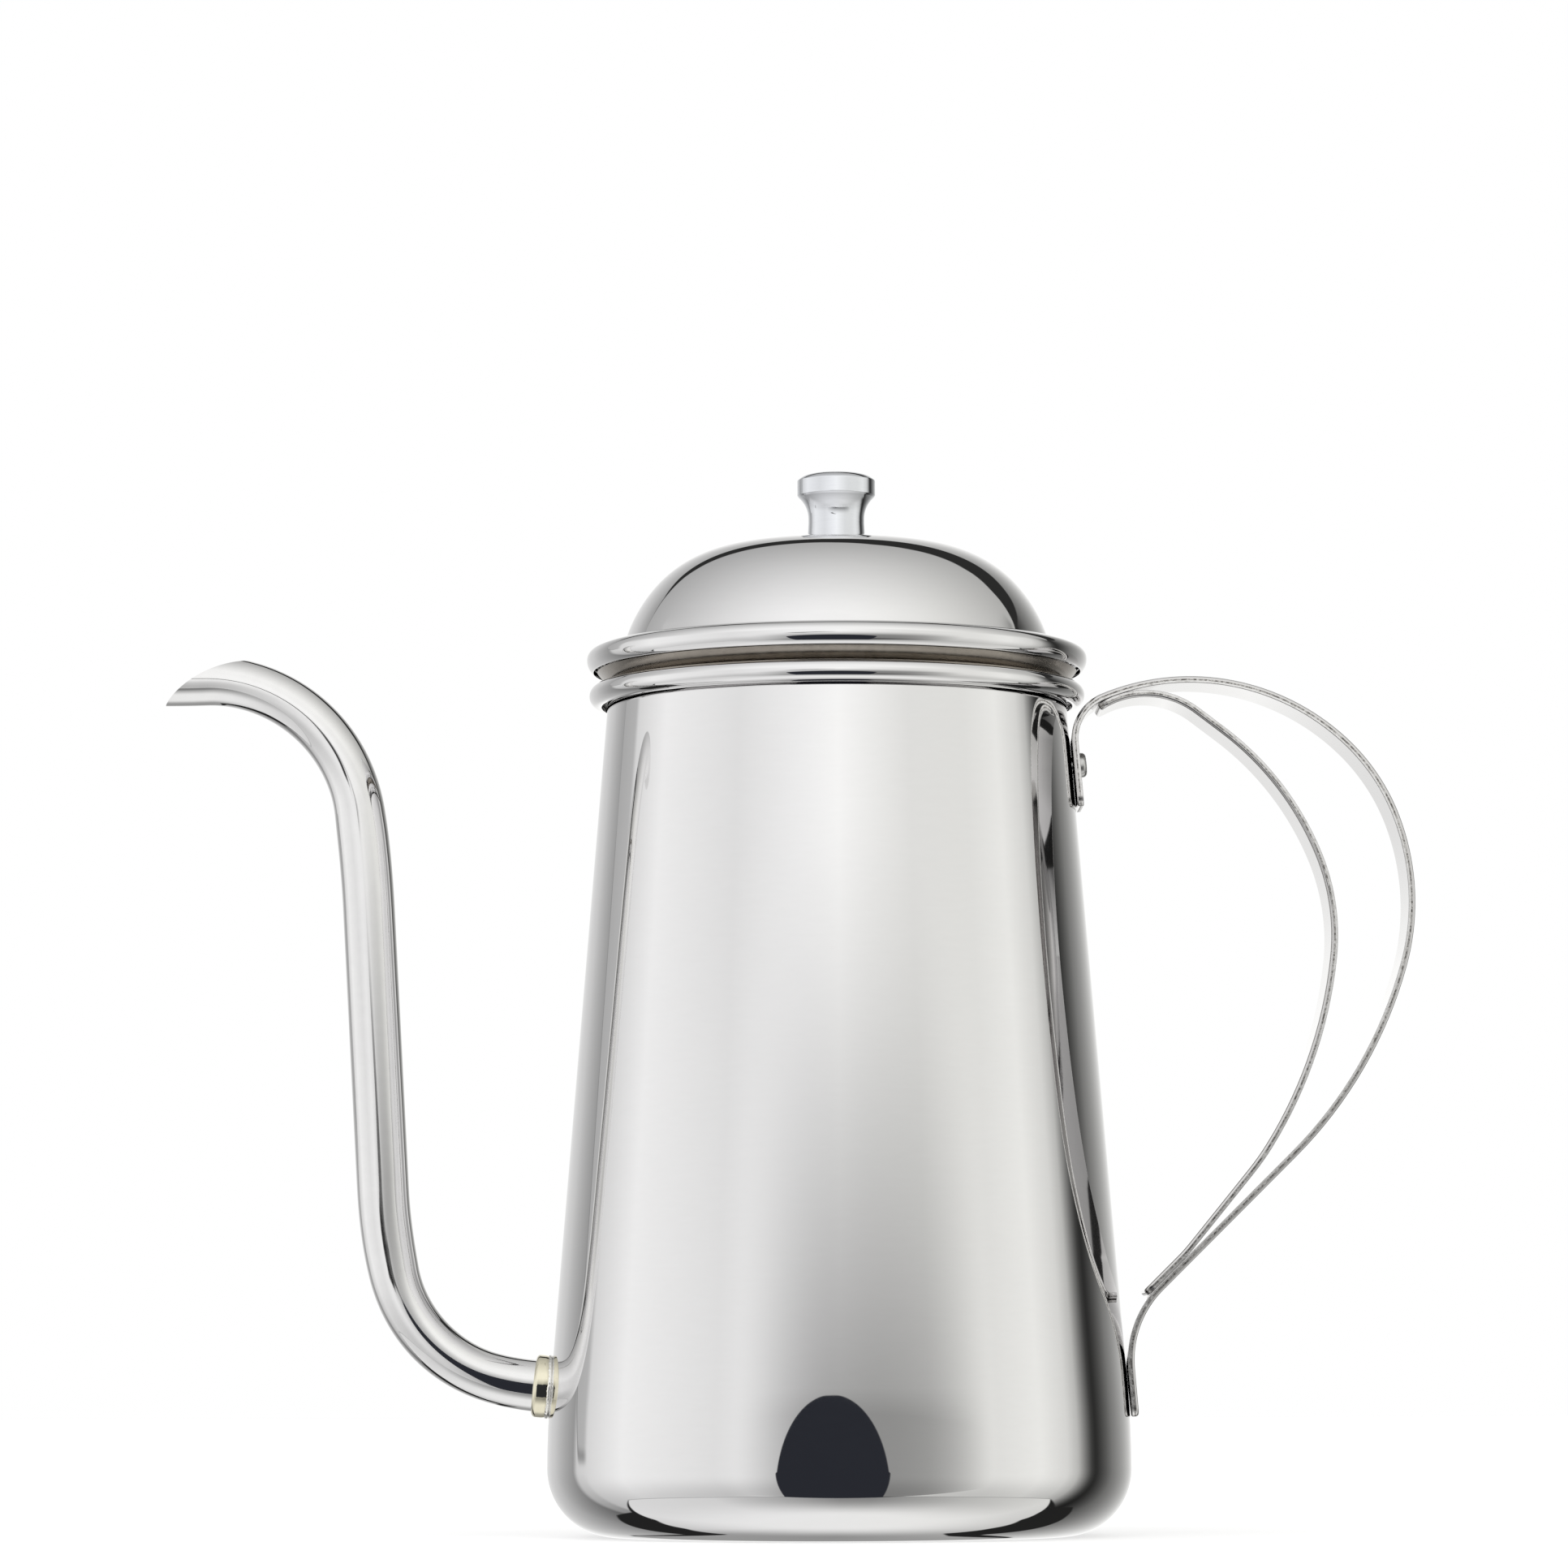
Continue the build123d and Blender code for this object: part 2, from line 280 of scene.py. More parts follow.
def piece(name, patches, materials, body, replaced=(), place=None):
    """Welds patches into one mesh object with their own normals, in metres, and rides it on a body.
    A patch is (points, normals) or (points, normals, material index)."""
    index = {}
    places, faces, loop_normals, slots = [], [], [], []

    def vertex(point):
        key = tuple(np.round(point, 4))
        if key not in index:
            index[key] = len(places)
            places.append(point)
        return index[key]

    for patch in patches:
        points, normals = patch[0], patch[1]
        material = patch[2] if len(patch) > 2 else 0
        if place is not None:
            points = points @ place[0].T + place[1]
            normals = normals @ place[0].T
        ids = [[vertex(p) for p in row] for row in points]
        for i in range(len(ids) - 1):
            for j in range(len(ids[0]) - 1):
                corners = ((i, j), (i, j + 1), (i + 1, j + 1), (i + 1, j))
                seen, face, face_normals = set(), [], []
                for a, b in corners:
                    if ids[a][b] not in seen:
                        seen.add(ids[a][b])
                        face.append(ids[a][b])
                        face_normals.append(normals[a][b])
                if len(face) < 3:
                    continue
                p = [np.array(places[k]) for k in face]
                facing = np.cross(p[1] - p[0], p[2] - p[0])
                if np.dot(facing, sum(face_normals)) < 0:
                    face.reverse()
                    face_normals.reverse()
                faces.append(face)
                loop_normals.extend(face_normals)
                slots.append(material)
    mesh = bpy.data.meshes.new(name)
    mesh.from_pydata([tuple(np.array(p) * MM) for p in places], [], faces)
    mesh.update()
    mesh.polygons.foreach_set("use_smooth", [True] * len(faces))
    mesh.polygons.foreach_set("material_index", slots)
    mesh.normals_split_custom_set([tuple(n) for n in loop_normals])
    for material in materials:
        mesh.materials.append(material)
    obj = bpy.data.objects.new(name, mesh)
    bpy.context.scene.collection.objects.link(obj)
    if body:
        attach(obj, body)
    if replaced:
        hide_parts(*replaced)
    return obj


def turned(name, runs, materials, body, node, slot, segments=RINGS, place=None, dull=()):
    """Piece turned about an axis from a closed outline, standing for one CAD node. The runs numbered in
    dull have the second material, the others the first."""
    patches = [(*lathe_patch(run, segments), int(i in dull)) for i, run in enumerate(runs)]
    return piece(name, patches, materials, body, [node], place)


# ---- shader helpers ----------------------------------------------------------------------------
class Graph:
    """Short way to add nodes and join them."""

    def __init__(self, tree):
        self.tree = tree
        tree.nodes.clear()

    def node(self, kind, **inputs):
        """New node with its inputs set or linked by name."""
        made = self.tree.nodes.new("ShaderNode" + kind)
        for key, value in inputs.items():
            self.feed(made.inputs[key.replace("_", " ")], value)
        return made

    def feed(self, socket, value):
        """Links an output to a socket, or sets the socket to a value."""
        if isinstance(value, bpy.types.NodeSocket):
            self.tree.links.new(value, socket)
        else:
            socket.default_value = value

    def math(self, operation, *values):
        """Result of a math node."""
        made = self.tree.nodes.new("ShaderNodeMath")
        made.operation = operation
        for socket, value in zip(made.inputs, values):
            self.feed(socket, value)
        return made.outputs[0]

    def scaled(self, value, low, high, to_low, to_high, kind="LINEAR"):
        """Value taken from one range to another and held at its ends."""
        made = self.tree.nodes.new("ShaderNodeMapRange")
        made.interpolation_type = kind
        for socket, given in zip(made.inputs, (value, low, high, to_low, to_high)):
            self.feed(socket, given)
        return made.outputs[0]

    def step(self, value, low, high):
        """0 below low, 1 above high, smooth between."""
        return self.scaled(value, low, high, 0.0, 1.0, "SMOOTHSTEP")

    def inverse(self, value):
        """1 less the value."""
        return self.math("SUBTRACT", 1.0, value)

    def blend(self, share, a, b):
        """Number a where share is 0, b where it is 1."""
        made = self.tree.nodes.new("ShaderNodeMix")
        for socket, given in zip(made.inputs[:4], (share, None, a, b)):
            if given is not None:
                self.feed(socket, given)
        return made.outputs[0]

    def curve(self, value, pairs, low=-180.0, high=180.0, top=255.0):
        """Piecewise straight function given by (value, result) pairs."""
        made = self.tree.nodes.new("ShaderNodeFloatCurve")
        line = made.mapping.curves[0]
        while len(line.points) < len(pairs):
            line.points.new(0.5, 0.5)
        for point, (x, y) in zip(line.points, pairs):
            point.location = ((x - low) / (high - low), y / top)
            point.handle_type = "VECTOR"
        made.mapping.update()
        self.feed(made.inputs["Value"], self.scaled(value, low, high, 0.0, 1.0))
        return self.math("MULTIPLY", made.outputs[0], top)

    def colours(self, value, stops):
        """Colour ramp over 0 to 1."""
        made = self.tree.nodes.new("ShaderNodeValToRGB")
        ramp = made.color_ramp
        while len(ramp.elements) < len(stops):
            ramp.elements.new(0.5)
        for element, (position, colour) in zip(ramp.elements, stops):
            element.position = position
            element.color = (*colour, 1.0)
        self.feed(made.inputs[0], value)
        return made.outputs[0]


def metal(name, stops, rough, scale, grain, bump, texture_scale=(1, 1, 1)):
    """Metal whose colour, roughness and fine relief follow two noises.
    scale and grain are the noises' frequencies per metre, rough a pair, bump a pair (strength, depth)."""
    material = bpy.data.materials.new(name)
    material.use_nodes = True
    g = Graph(material.node_tree)
    place = g.node("TexCoord").outputs["Object"]
    stretched = g.node("Mapping", Vector=place, Scale=texture_scale).outputs[0]
    broad = g.node("TexNoise", Vector=place, Scale=scale, Detail=3.0).outputs[0]
    fine = g.node("TexNoise", Vector=stretched, Scale=grain, Detail=4.0, Roughness=0.6).outputs[0]
    mix = g.math("MULTIPLY_ADD", fine, 0.5, g.math("MULTIPLY", broad, 0.5))
    colour = g.colours(g.scaled(mix, 0.3, 0.7, 0.0, 1.0), stops)
    roughness = g.scaled(mix, 0.3, 0.7, rough[0], rough[1])
    relief = g.node("Bump", Strength=bump[0], Distance=bump[1], Height=fine)
    shader = g.node("BsdfPrincipled", Metallic=1.0, Roughness=roughness, Base_Color=colour,
                    Normal=relief.outputs[0])
    out = g.node("OutputMaterial", Surface=shader.outputs[0])
    out.is_active_output = True
    return material


STEEL = metal("polished_steel", [(0.0, (0.795, 0.79, 0.79)), (1.0, (0.815, 0.81, 0.81))],
              (0.015, 0.03), 35.0, 260.0, (0.003, 0.00001), (1, 1, 4))
SATIN_STEEL = metal("satin_steel", [(0.0, (0.76, 0.755, 0.745)), (1.0, (0.84, 0.835, 0.825))],
                    (0.38, 0.48), 60.0, 500.0, (0.06, 0.00002), (1, 1, 10))
# Steel of the lid's locating ring, painted dark brown: painted shade for the gap between the lid's rolled
# edge and the body's rim
GAP_SHADE_STEEL = metal("steel_painted_gap_shade", [(0.0, (0.30, 0.27, 0.235)), (1.0, (0.42, 0.385, 0.34))],
                   (0.16, 0.26), 60.0, 700.0, (0.05, 0.00002))
TUBE_STEEL = metal("drawn_steel", [(0.0, (0.785, 0.78, 0.78)), (1.0, (0.84, 0.835, 0.83))],
                   (0.03, 0.06), 60.0, 500.0, (0.006, 0.00001))
STRAP = metal("strap_steel", [(0.0, (0.62, 0.61, 0.605)), (1.0, (0.70, 0.69, 0.685))],
              (0.04, 0.10), 60.0, 600.0, (0.02, 0.00002), (1, 6, 1))
TORN_EDGE = metal("torn_edge", [(0.0, (0.05, 0.045, 0.04)), (0.35, (0.22, 0.21, 0.20)),
                                (0.65, (0.62, 0.61, 0.59)), (1.0, (0.90, 0.89, 0.88))],
                  (0.28, 0.45), 1100.0, 2600.0, (0.4, 0.00006), (1, 0.3, 1))
EDGE = metal("sheared_edge", [(0.0, (0.40, 0.39, 0.38)), (0.3, (0.68, 0.67, 0.65)),
                              (0.6, (0.86, 0.85, 0.84)), (1.0, (0.95, 0.94, 0.93))],
             (0.22, 0.40), 900.0, 2200.0, (0.25, 0.00005), (1, 0.3, 1))
ALUMINIUM = metal("turned_aluminium", [(0.0, (0.74, 0.755, 0.785)), (1.0, (0.80, 0.815, 0.845))],
                  (0.05, 0.10), 120.0, 300.0, (0.10, 0.00002), (1, 1, 12))
BRASS = metal("pale_brass", [(0.0, (0.78, 0.735, 0.57)), (1.0, (0.84, 0.795, 0.63))],
              (0.03, 0.06), 90.0, 900.0, (0.05, 0.00002))
SOLDER = metal("silver_solder", [(0.0, (0.80, 0.79, 0.75)), (1.0, (0.96, 0.95, 0.91))],
               (0.12, 0.22), 400.0, 1500.0, (0.3, 0.00005))
FASTENER = metal("fastener_steel", [(0.0, (0.52, 0.52, 0.51)), (1.0, (0.68, 0.68, 0.67))],
                 (0.2, 0.35), 200.0, 1800.0, (0.2, 0.00004))


# ---- body wall and base -------------------------------------------------------------------------
def wall_outline():
    """Outline of the body's wall, from its foot over the rolled rim and back."""
    rise = (CURL_START - CONE_START) / math.cos(math.radians(CONE_ANGLE))
    wall = course((BODY_RADIUS, CORNER_RADIUS), 90, (BLEND_RADIUS, CONE_ANGLE), rise,
                  (RIM_RADIUS - SHEET, -RIM_TURN), turn_step=2.5)
    return sheet_outline(wall, SHEET, "left")


def drill(name, plane, radius):
    """Cylinder through the wall along a plane's normal, to cut a hole with."""
    run = straight((radius, 4.0), (radius, -4.0))
    runs = [straight((0, 4.0), (radius, 4.0)), run, straight((radius, -4.0), (0, -4.0))]
    return piece(name, [lathe_patch(r, 64) for r in runs], [STEEL], None, place=plane)


def reshade(obj, runs):
    """Gives a turned mesh that was cut its outline's normals again, and the cut its own."""
    outline = np.concatenate(runs)
    mesh = obj.data
    places = np.array([v.co for v in mesh.vertices]) / MM
    radius = np.hypot(places[:, 0], places[:, 1])
    normals = []
    for polygon in mesh.polygons:
        own = np.array(polygon.normal)
        for corner in polygon.loop_indices:
            vertex = mesh.loops[corner].vertex_index
            spot = places[vertex]
            r = radius[vertex]
            gap = np.hypot(outline[:, 0] - r, outline[:, 1] - spot[2])
            # between stations the heading changes in step with the height
            near = np.argsort(gap)[:6]
            best, found = -2.0, own
            for k in near:
                h = outline[k, 2]
                spin = np.array([math.sin(h) * spot[0] / r, math.sin(h) * spot[1] / r, -math.cos(h)])
                match = float(spin @ own) - 0.2 * gap[k]
                if match > best:
                    best, found = match, spin
            normals.append(tuple(found if best > 0.8 else own))
    mesh.normals_split_custom_set(normals)


def cut_holes(obj, runs, *tools):
    """Cuts each tool out of an object, removes the tools and shades the result."""
    for tool in tools:
        cut = obj.modifiers.new("hole", "BOOLEAN")
        cut.object = tool
        cut.operation = "DIFFERENCE"
        cut.solver = "EXACT"
    bpy.context.view_layer.update()
    evaluated = obj.evaluated_get(bpy.context.evaluated_depsgraph_get())
    mesh = bpy.data.meshes.new_from_object(evaluated)
    obj.modifiers.clear()
    obj.data = mesh
    for tool in tools:
        bpy.data.objects.remove(tool)
    reshade(obj, runs)


def build_body():
    """Body wall with its two holes, and the base pan with its groove."""
    outer, rim_end, inner, foot_end = wall_outline()
    # the sheet's inner side runs on over the rolled rim, and is polished there
    below_rim = np.nonzero(inner[:, 1] >= CURL_START - 0.5)[0][-1]
    runs = [outer, rim_end, inner[:below_rim + 1], inner[below_rim:], foot_end]
    shell = turned("body_shell", runs, [STEEL, SATIN_STEEL], "kettle", "body_wall", "polished_steel",
                   dull=(3,))
    cut_holes(shell, runs, drill("spout_drill", ROOT_PLACE, TUBE_RADIUS + SLIP),
              drill("rivet_drill", RIVET_PLACE, RIVET_SHANK + SLIP))
    flat_radius = BODY_RADIUS - CORNER_RADIUS
    heading, steps = corner_steps([(0, 0), (GROOVE[0], 0), (GROOVE[0] + 1.6, GROOVE_DEPTH),
                                   (GROOVE[1] - 1.6, GROOVE_DEPTH), (GROOVE[1], 0), (flat_radius, 0)],
                                  [1.2] * 4)
    base = course((0, 0), heading, *steps, (CORNER_RADIUS, 90))
    turned("base_pan_shell", sheet_outline(base, SHEET, "left"), [STEEL, SATIN_STEEL], "kettle", "base_pan",
           "polished_steel", dull=(2,))


# ---- lid ------------------------------------------------------------------------------------------
def build_lid():
    """Dome with its rolled edge, and the locating ring under it."""
    foot = course((0, DOME_HEIGHT), 0, *DOME_STEPS)[-1]
    lean = math.radians(EDGE_LEAN)
    top = (EDGE_TOP[0] - EDGE_RADIUS * math.sin(lean), EDGE_TOP[1] - EDGE_RADIUS * (1 - math.cos(lean)))
    _, steps = corner_steps([foot[:2], VALLEY, top], [VALLEY_ROUND])
    shell = course((0, DOME_HEIGHT), 0, *DOME_STEPS, *steps, (EDGE_RADIUS, -35 - EDGE_LEAN), *EDGE_CURL,
                   turn_step=2)
    shell = shell[shell[:, 0] > SCREW_RADIUS + 0.15]
    turned("lid_shell", sheet_outline(shell, SHEET, "right"), [STEEL], "lid", "lid_dome", "polished_steel")
    ring = course(LOCATING_START, 0, *LOCATING_STEPS)
    # the ring shows in the gap under the lid's edge; its dark colour is painted shade there, not the steel's
    # own
    turned("lid_locating_ring", sheet_outline(ring, SHEET, "left"), [GAP_SHADE_STEEL], "lid", "lid_collar",
           "polished_steel")


def build_knob():
    """Knob: crown, upright side, throat, neck and the blind bore for its screw."""
    crown = course((0, KNOB_HEIGHT), 0, *KNOB_CROWN, turn_step=2)
    head = crown[-1]
    top, foot = KNOB_SIDE
    side = rounded([head[:2], (KNOB_RADIUS, top), (KNOB_RADIUS, foot), KNOB_UNDER], 0.25, 0.2)
    # throat: arc that leaves the neck upright and ends under the head
    dx, dz = KNOB_UNDER[0] - NECK_TOP[0], KNOB_UNDER[1] - NECK_TOP[1]
    radius = (dx * dx + dz * dz) / (2 * dx)
    turn = math.degrees(math.asin(dz / radius))
    throat = turned_back(course(NECK_TOP, 90, (radius, -turn), turn_step=2))
    seat = (KNOB_SEAT_RADIUS - 0.25, KNOB_SEAT)
    neck = rounded([NECK_TOP, (NECK_TOP[0], NECK_FOOT), (KNOB_SEAT_RADIUS, KNOB_SEAT), seat], 0.3, 0.06)
    mouth = (KNOB_BORE, KNOB_SEAT + 0.09)
    under = straight(seat, mouth)
    bore = straight(mouth, (KNOB_BORE, KNOB_BORE_END))
    end = straight((KNOB_BORE, KNOB_BORE_END), (0, KNOB_BORE_END))
    runs = [turned_back(run) for run in (crown, side, throat, neck, under, bore, end)][::-1]
    turned("turned_knob", runs, [ALUMINIUM], "lid", "lid_knob", "aluminium", segments=192)


# ---- spout -----------------------------------------------------------------------------------------
def smooth_along(values, spread):
    """Values blurred along their index by a bell of a given spread."""
    reach = np.arange(-3 * spread, 3 * spread + 1)
    bell = np.exp(-0.5 * (reach / spread) ** 2)
    padded = np.pad(values, 3 * spread, mode="edge")
    return np.convolve(padded, bell / bell.sum(), mode="valid")


def build_spout():
    """Bent tube, slightly flattened in its bends, with an oblique convex cut at the outlet."""
    inside = ROOT_POINT - ROOT_OUT * ROOT_INSIDE
    legs = route((inside[0], inside[2]), 180 - ROOT_RISE, ROOT_INSIDE + SPOUT_ROOT, *SPOUT_STEPS)
    length = total(legs)
    marks = np.arange(0, length, 0.1)
    bends = np.zeros(len(marks))
    for begin, run, x, z, h, curvature in legs:
        bends[(marks >= begin) & (marks < begin + run)] = min(1.0, abs(curvature) * 26.0)
    bends = smooth_along(bends ** 2, BEND_SPREAD)
    chord = np.array(NAPE) - np.array(LIP)
    half = np.hypot(*chord) / 2
    cut_radius = (half ** 2 + OUTLET_BULGE ** 2) / (2 * OUTLET_BULGE)
    across = np.array([chord[1], -chord[0]]) / (2 * half)
    cut_centre = (np.array(NAPE) + np.array(LIP)) / 2 + across * (cut_radius - OUTLET_BULGE)
    turns = np.linspace(0, 2 * math.pi, 121)

    def skin(reach, wall):
        """Points of the tube's surface at given lengths (a grid, one column per turn)."""
        run = walk(legs, reach.ravel()).reshape(*reach.shape, 3)
        squash = np.interp(reach, marks, bends) * FLATTENING
        narrow = TUBE_RADIUS * (1 - squash) - wall
        wide = TUBE_RADIUS * (1 + 0.5 * squash) - wall
        c, s = np.cos(turns), np.sin(turns)
        return np.stack([run[..., 0] - np.sin(run[..., 2]) * narrow * c, wide * s,
                         run[..., 1] + np.cos(run[..., 2]) * narrow * c], axis=2)

    def surface(wall):
        """Grid of points from the inner end to the cut."""
        trial = np.arange(length - 30, length, 0.05)
        spread = skin(np.repeat(trial[:, None], len(turns), axis=1), wall)
        beyond = np.hypot(spread[..., 0] - cut_centre[0], spread[..., 2] - cut_centre[1]) - cut_radius
        ends = np.array([np.interp(0, column, trial) if column.max() > 0 else length
                         for column in np.maximum.accumulate(beyond, axis=0).T])
        base = stations(legs, 2.0, 1.5)
        base = base[base < ends.min() - 3]
        rows = [np.full(len(turns), mark) for mark in base]
        rows += [base[-1] + (ends - base[-1]) * i / 24 for i in range(1, 25)]
        return skin(np.array(rows), wall)

    outer = surface(0.0)
    inner = surface(TUBE_WALL)
    faces = np.stack([outer[-1], inner[-1]])
    out = np.stack([faces[..., 0] - cut_centre[0], 0 * faces[..., 1], faces[..., 2] - cut_centre[1]], axis=2)
    out /= np.linalg.norm(out, axis=2, keepdims=True)
    root = np.stack([inner[0], outer[0]])
    patches = [(outer, outward(outer)), (faces, out), (inner, -outward(inner)),
               (root, np.broadcast_to(-ROOT_OUT, root.shape))]
    piece("swan_neck_tube", patches, [TUBE_STEEL], "kettle", ["spout_tube"])


def saddle(radius, angles, growth):
    """Reach along the root axis at which a line at a radius meets the wall grown by an amount."""
    turned_x, turned_y = ROOT_PLACE[0][:, 0], ROOT_PLACE[0][:, 1]
    reach = np.zeros(len(angles))
    lines = ROOT_POINT + radius * (np.cos(angles)[:, None] * turned_x + np.sin(angles)[:, None] * turned_y)
    for _ in range(30):
        spots = lines + reach[:, None] * ROOT_OUT
        swell = growth / math.cos(math.radians(CONE_ANGLE))
        reach -= np.hypot(spots[:, 0], spots[:, 1]) - wall_radius(spots[:, 2]) - swell
    return reach


def ring_patch(rows, angles):
    """Patch round the root axis from rows of (radius, reach, normal outwards, normal along)."""
    c, s = np.cos(angles), np.sin(angles)
    points, normals = [], []
    for radius, reach, out, along in rows:
        radius = radius + 0 * c
        points.append(np.stack([radius * c, radius * s, reach + 0 * c], axis=1))
        normals.append(np.stack([out * c, out * s, along + 0 * c], axis=1))
    return np.array(points), np.array(normals)


def build_collar():
    """Brass ring round the spout's root, saddled to the wall."""
    angles = np.linspace(0, 2 * math.pi, 145)
    seat = saddle(COLLAR_RADIUS, angles, SOLDER_GAP)
    bore_seat = saddle(TUBE_RADIUS + SLIP, angles, SOLDER_GAP)
    bore = TUBE_RADIUS + SLIP
    shoulder = COLLAR_REACH - COLLAR_ROUND
    side = [(COLLAR_RADIUS - 0.18 * (1 - i / 4) ** 2, seat + (shoulder - seat) * i / 8,
             1.0, -0.22 * (1 - i / 4)) for i in range(5)]
    side += [(COLLAR_RADIUS, seat + (shoulder - seat) * i / 8, 1.0, 0.0) for i in range(5, 9)]
    lean = [math.radians(i * 9) for i in range(11)]
    round_rows = [(COLLAR_RADIUS - COLLAR_ROUND * (1 - math.cos(a)), shoulder + COLLAR_ROUND * math.sin(a),
                   math.cos(a), math.sin(a)) for a in lean]
    face = [(COLLAR_RADIUS - COLLAR_ROUND, COLLAR_REACH, 0.0, 1.0), (bore, COLLAR_REACH, 0.0, 1.0)]
    inside = [(bore, COLLAR_REACH, -1.0, 0.0), (bore, bore_seat, -1.0, 0.0)]
    back = [(bore, bore_seat, 0.0, -1.0), (COLLAR_RADIUS - 0.18, seat, 0.0, -1.0)]
    patches = [ring_patch(rows, angles) for rows in (side, round_rows, face, inside, back)]
    piece("collar_ring", patches, [BRASS], "kettle", ["spout_collar"], ROOT_PLACE)


def build_solder():
    """Wavy solder seam between the brass ring and the wall."""
    angles = np.linspace(0, 2 * math.pi, 289)
    wander = 0.5 * np.sin(7 * angles + 1) + 0.35 * np.sin(19 * angles + 2) + 0.3 * np.sin(43 * angles)
    wander += 0.2 * np.sin(71 * angles + 3)
    low = saddle(COLLAR_RADIUS, angles, 0.0) - 0.03
    high = saddle(COLLAR_RADIUS, angles, SOLDER_GAP) + 0.16 + 0.09 * wander
    bore = TUBE_RADIUS + SLIP
    rows = []
    for i in range(13):
        share = i / 12
        swell = math.sin(math.pi * share) ** 0.6
        radius = COLLAR_RADIUS - 0.2 + 0.27 * swell + 0.03 * wander * swell
        rows.append((radius, low + (high - low) * share, 1.0, 0.0))
    rows.append((bore, high - 0.2, 0.0, 1.0))
    rows.append((bore, low, -1.0, 0.0))
    rows.append(rows[0])
    points, _ = ring_patch(rows, angles)
    piece("solder_seam", [(points, outward(points))], [SOLDER], "kettle", ["spout_solder"],
          ROOT_PLACE)


# ---- handle ------------------------------------------------------------------------------------------
def strap(name, node, legs, rolled_side):
    """Flat strap whose left face follows a route. Its edge is rolled smooth on one side, 1 for the left
    face and -1 for the right, and torn and grainy on the rest, as shearing leaves it."""
    length = total(legs)
    marks = stations(legs, 2.0, 2.5)
    marks = np.concatenate([[STRAP_ROUND], marks[(marks > 2.2) & (marks < length - 2.2)],
                            [length - STRAP_ROUND]])
    core = STRAP_HALF - STRAP_ROUND
    widths = np.linspace(core, -core, 9)
    quarter = np.radians(np.linspace(0, 90, 9))
    ring = [(s, core, 0.0, 1.0) for s in marks]
    ring += [(marks[-1], core, math.sin(a), math.cos(a)) for a in quarter[1:]]
    ring += [(marks[-1], y, 1.0, 0.0) for y in widths[1:]]
    ring += [(marks[-1], -core, math.cos(a), -math.sin(a)) for a in quarter[1:]]
    ring += [(s, -core, 0.0, -1.0) for s in marks[::-1][1:]]
    ring += [(marks[0], -core, -math.sin(a), -math.cos(a)) for a in quarter[1:]]
    ring += [(marks[0], y, -1.0, 0.0) for y in widths[::-1][1:]]
    ring += [(marks[0], core, -math.cos(a), math.sin(a)) for a in quarter[1:]]
    ring = np.array(ring)

    def mapped(s, y, t, ns, ny, nt):
        """Strap coordinates and normal to the frame; t is 0 on the left face, negative below it."""
        run = walk(legs, s.ravel()).reshape(*s.shape, 3)
        c, d = np.cos(run[..., 2]), np.sin(run[..., 2])
        points = np.stack([run[..., 0] - d * t, y + 0 * t, run[..., 1] + c * t], axis=-1)
        normals = np.stack([ns * c - nt * d, ny + 0 * c, ns * d + nt * c], axis=-1)
        return points, normals

    def rim(profile):
        """Band round the edge from rows of (inset from the outline, t, normal out, normal up)."""
        rows_p, rows_n = [], []
        for inset, t, out, up in profile:
            reach = STRAP_ROUND - inset
            s = np.clip(ring[:, 0] + ring[:, 2] * reach, 0, length)
            p, n = mapped(s, ring[:, 1] + ring[:, 3] * reach, np.full(len(ring), t),
                          ring[:, 2] * out, ring[:, 3] * out, np.full(len(ring), up))
            rows_p.append(p)
            rows_n.append(n)
        return np.array(rows_p), np.array(rows_n)

    def quarter_round(radius, face_t, side):
        """Profile from the face to the rim, side 1 at the left face."""
        angles = np.radians(np.linspace(90, 0, 8))
        rows = [(radius * (1 - math.cos(a)), face_t - side * radius * (1 - math.sin(a)),
                 math.cos(a), side * math.sin(a)) for a in angles]
        return [(STRAP_ROUND, face_t, 0.0, side)] + rows

    upper_radius = ROLLED if rolled_side > 0 else BURR
    lower_radius = ROLLED if rolled_side < 0 else BURR
    top = quarter_round(upper_radius, 0.0, 1)
    bottom = quarter_round(lower_radius, -STRAP_THICKNESS, -1)
    grid_s, grid_y = np.meshgrid(marks, widths, indexing="ij")
    zero = 0 * grid_s
    share = TORN if rolled_side > 0 else 1 - TORN
    middle = (0.0, top[-1][1] + (bottom[-1][1] - top[-1][1]) * share, 1.0, 0.0)
    zones = (1, 2) if rolled_side > 0 else (2, 1)
    patches = [mapped(grid_s, grid_y, zero, zero, zero, zero + 1),
               mapped(grid_s, grid_y, zero - STRAP_THICKNESS, zero, zero, zero - 1),
               rim(top), rim(bottom[::-1]), (*rim([top[-1], middle]), zones[0]),
               (*rim([middle, bottom[-1]]), zones[1])]
    piece(name, patches, [STRAP, TORN_EDGE, EDGE], "kettle", [node])


